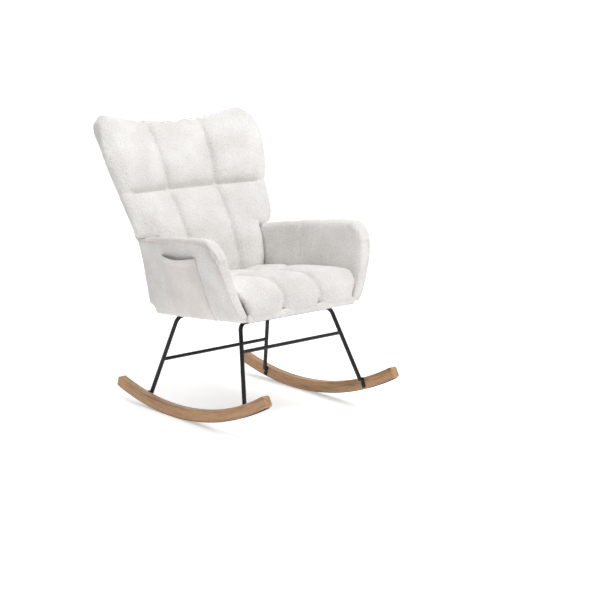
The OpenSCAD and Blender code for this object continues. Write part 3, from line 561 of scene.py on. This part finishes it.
def on_surface(piece, level_points, proud_mm):
    """Carries points to the nearest place on a piece and a little out of it."""
    tree = BVHTree.FromPolygons([v.co for v in piece.data.vertices],
                                [f.vertices for f in piece.data.polygons])
    found = [tree.find_nearest(Vector(q)) for q in to_rest(level_points)]
    placed = to_level([tuple(hit[0] + hit[1] * proud_mm / 1000) for hit in found])
    for _ in range(3):
        placed[1:-1] = (placed[:-2] + 2 * placed[1:-1] + placed[2:]) / 4
    return placed


for side, sign in (("left", 1), ("right", -1)):
    rise = np.linspace(SEAT_LOW + 6, ARM_TOP - 20, 34)
    path = np.stack([arm_out(arm_front(rise), rise) - 1.0, arm_front(rise) + 2.0, rise], -1)
    along = np.linspace(0.05, 0.985, 26)
    front_y = float(arm_front(SEAM_HIGH))
    ys = front_y + (SEAM_REAR - front_y) * along
    rail = np.stack([arm_out(ys, SEAM_HIGH) - 0.5, ys, np.full_like(ys, SEAM_HIGH)], -1)
    path = np.concatenate([path, rail])
    path[:, 0] *= sign
    path = on_surface(arms[side], path, 0.6)
    cord = cord_along("arm_piping_cord_" + side, path, 0.0028)
    cord.data.materials.append(trim_boucle)
    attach(cord, "root")
    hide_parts("arm_piping_" + side)

# %% Hand the soft pieces over
for piece, fill, stands_for in (
        (back_cushion, 0.8, ["back_cover", "back_foam", "back_panel"]),
        (seat_cushion, 0.8, ["seat_cover", "seat_foam"]),
        (border, 0.9, ["front_border"]),
        (arms["left"], 0.9, ["arm_cover_left", "arm_foam_left"]),
        (arms["right"], 0.9, ["arm_cover_right", "arm_foam_right"])):
    piece.data.materials.clear()
    piece.data.materials.append(cream_boucle)
    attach(piece, "root")
    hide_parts(*stands_for)
print("soft pieces done")

# %% [markdown]
# ## Studio
# A pale floor that runs up into a pale wall. Three soft lamps light the chair: the key high in front,
# a weaker one almost overhead, and one behind. The paper glows a little, so that it stays white.

# %% Floor and light
profile = [(-7.0, 0.0)] + [(3.2 + 1.8 * math.sin(a), 1.8 - 1.8 * math.cos(a))
                           for a in np.linspace(0, math.pi / 2, 12)] + [(5.0, 7.0)]
VIEW_TURN = math.radians(41.5)
aim = Vector((math.sin(VIEW_TURN), math.cos(VIEW_TURN), 0))
wide = Vector((aim.y, -aim.x, 0))
floor_mesh = bpy.data.meshes.new("studio_floor")
floor_points = [aim * along + wide * w + Vector((0, 0, high))
                for along, high in profile for w in (-9, 9)]
floor_mesh.from_pydata([tuple(q) for q in floor_points], [],
                       [(2 * i, 2 * i + 1, 2 * i + 3, 2 * i + 2) for i in range(len(profile) - 1)])
floor = link(floor_mesh, "studio_floor")
for face in floor_mesh.polygons:
    face.use_smooth = True
paper, tree, shader = new_finish("studio_paper")
shader.inputs["Base Color"].default_value = linear("#f6f6f6")
shader.inputs["Roughness"].default_value = 0.9
shader.inputs["Emission Color"].default_value = linear("#ffffff")
shader.inputs["Emission Strength"].default_value = 0.40
floor_mesh.materials.append(paper)


def lamp(name, place, size, watts, target=(0, 0, 0.45)):
    """A round lamp aimed at the middle of the chair."""
    data = bpy.data.lights.new(name, "AREA")
    data.shape, data.size, data.energy = "DISK", size, watts
    made = bpy.data.objects.new(name, data)
    made.location = place
    made.rotation_euler = (Vector(target) - Vector(place)).to_track_quat("-Z", "Y").to_euler()
    scene.collection.objects.link(made)


lamp("key", (1.5, -2.2, 3.8), 1.6, 76)
lamp("top", (-0.7, -0.9, 3.7), 1.4, 44)
lamp("rear", (0.8, 3.0, 2.8), 2.0, 32)
world = bpy.data.worlds.new("studio")
scene.world = world
world.use_nodes = True
world.node_tree.nodes["Background"].inputs[0].default_value = linear("#ffffff")
world.node_tree.nodes["Background"].inputs[1].default_value = 0.34
scene.view_settings.view_transform = "Standard"
